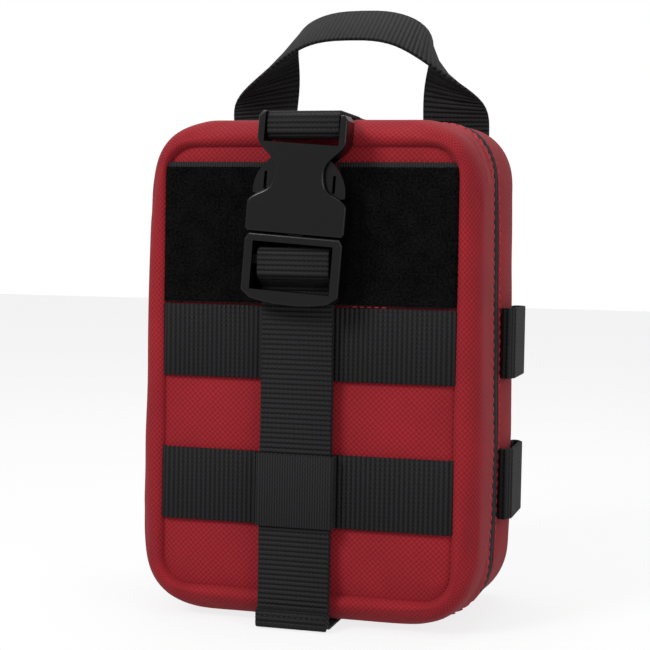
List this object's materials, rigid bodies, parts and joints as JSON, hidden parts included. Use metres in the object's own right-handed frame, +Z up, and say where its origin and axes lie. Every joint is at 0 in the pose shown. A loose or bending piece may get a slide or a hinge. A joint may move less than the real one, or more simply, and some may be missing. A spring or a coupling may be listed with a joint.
{
  "type": "first aid pouch",
  "caption": "Padded zip-round first aid pouch on a tear-away webbing panel, with a carry handle, patch field and a vertical buckled strap.",
  "frame": {"origin": "on the ground, under the middle of the whole part", "axes": "+Z up, -Y out of the front face with the buckle, +X to the viewer's right"},
  "size_m": [0.1334, 0.092, 0.2234],
  "materials": {
    "red_cordura": "padded coated nylon, basket weave",
    "black_webbing": "ribbed nylon webbing",
    "loop_field": "brushed hook-and-loop tape",
    "zipper_tape": "woven polyester tape",
    "zipper_coil": "nylon coil",
    "elastic": "fine woven elastic",
    "acetal": "satin moulded acetal",
    "board": "coated nylon over a stiff sheet",
    "slider_metal": "black painted zinc",
    "snap_metal": "blackened brass",
    "lining": "plain black lining",
    "gauze": "rolled crepe cotton",
    "dressing_wrap": "film and paper packet"
  },
  "bodies": {
    "pouch_back": {"rear_gusset": "red_cordura", "back_panel": "red_cordura", "hinge_gusset": "red_cordura", "back_loop_field": "loop_field", "rear_zipper_tape": "zipper_tape", "rear_zipper_coil": "zipper_coil", "left_side_webbing": "black_webbing", "right_side_webbing": "black_webbing", "handle_feet": "black_webbing", "top_strap": "black_webbing", "rear_strap_run": "black_webbing", "panel_hook_field": "loop_field", "tear_away_panel": "board", "panel_webbing": "black_webbing", "attachment_straps": "black_webbing", "strap_snaps": "snap_metal", "inner_pocket": "lining", "dressing_packets": "dressing_wrap", "bandage_rolls": "gauze", "elastic_loops": "elastic"},
    "lid": {"lid_gusset": "red_cordura", "front_panel": "red_cordura", "lid_zipper_tape": "zipper_tape", "lid_zipper_coil": "zipper_coil", "upper_front_webbing": "black_webbing", "lower_front_webbing": "black_webbing", "name_patch_loop": "loop_field", "front_strap_run": "black_webbing", "front_strap": "black_webbing", "strap_keeper": "elastic", "lid_pocket": "lining"},
    "top_flap": {"flap_strap": "black_webbing", "buckle_socket": "acetal"},
    "buckle_lower": {"buckle_plug": "acetal"},
    "left_arm": {"left_buckle_arm": "acetal"},
    "right_arm": {"right_buckle_arm": "acetal"},
    "slider": {"zipper_slider": "slider_metal"},
    "pull": {"zipper_pull": "slider_metal"},
    "handle": {"carry_handle": "black_webbing"}
  },
  "joints": [
    {"name": "lid_hinge", "type": "hinge", "parent": "pouch_back", "child": "lid", "pos_m": [0, -0.00162, 0.0015], "axis": [1, 0, 0], "range_deg": [0, 105], "deforming": ["hinge_gusset"]},
    {"name": "flap_fold", "type": "hinge", "parent": "pouch_back", "child": "top_flap", "pos_m": [0.00098, -0.02463, 0.17877], "axis": [-1, 0, 0], "range_deg": [0, 120]},
    {"name": "buckle_release", "type": "slide", "parent": "lid", "child": "buckle_lower", "axis": [-0.0698, 0, -0.9976], "range_m": [0, 0.024], "deforming": ["front_strap", "left_buckle_arm", "right_buckle_arm"]},
    {"name": "left_arm_squeeze", "type": "hinge", "parent": "buckle_lower", "child": "left_arm", "pos_m": [-0.01312, -0.04102, 0.13713], "axis": [0, 1, 0], "range_deg": [0, 9], "stiffness_Nm_per_rad": 0.8},
    {"name": "right_arm_squeeze", "type": "hinge", "parent": "buckle_lower", "child": "right_arm", "pos_m": [0.01003, -0.04102, 0.13551], "axis": [0, -1, 0], "range_deg": [0, 9], "stiffness_Nm_per_rad": 0.8},
    {"name": "slider_travel", "type": "slide", "parent": "pouch_back", "child": "slider", "axis": [0, 0, 1], "range_m": [0, 0.115]},
    {"name": "pull_swing", "type": "hinge", "parent": "slider", "child": "pull", "pos_m": [-0.06472, -0.00162, 0.0315], "axis": [0, 1, 0], "range_deg": [0, 90]},
    {"name": "handle_fold", "type": "hinge", "parent": "pouch_back", "child": "handle", "pos_m": [0, 0.03553, 0.1781], "axis": [1, 0, 0], "range_deg": [-80, 50], "stiffness_Nm_per_rad": 0.03}
  ],
  "couplings": [
    {"joint": "right_arm_squeeze", "follows": "left_arm_squeeze", "ratio": 1}
  ]
}
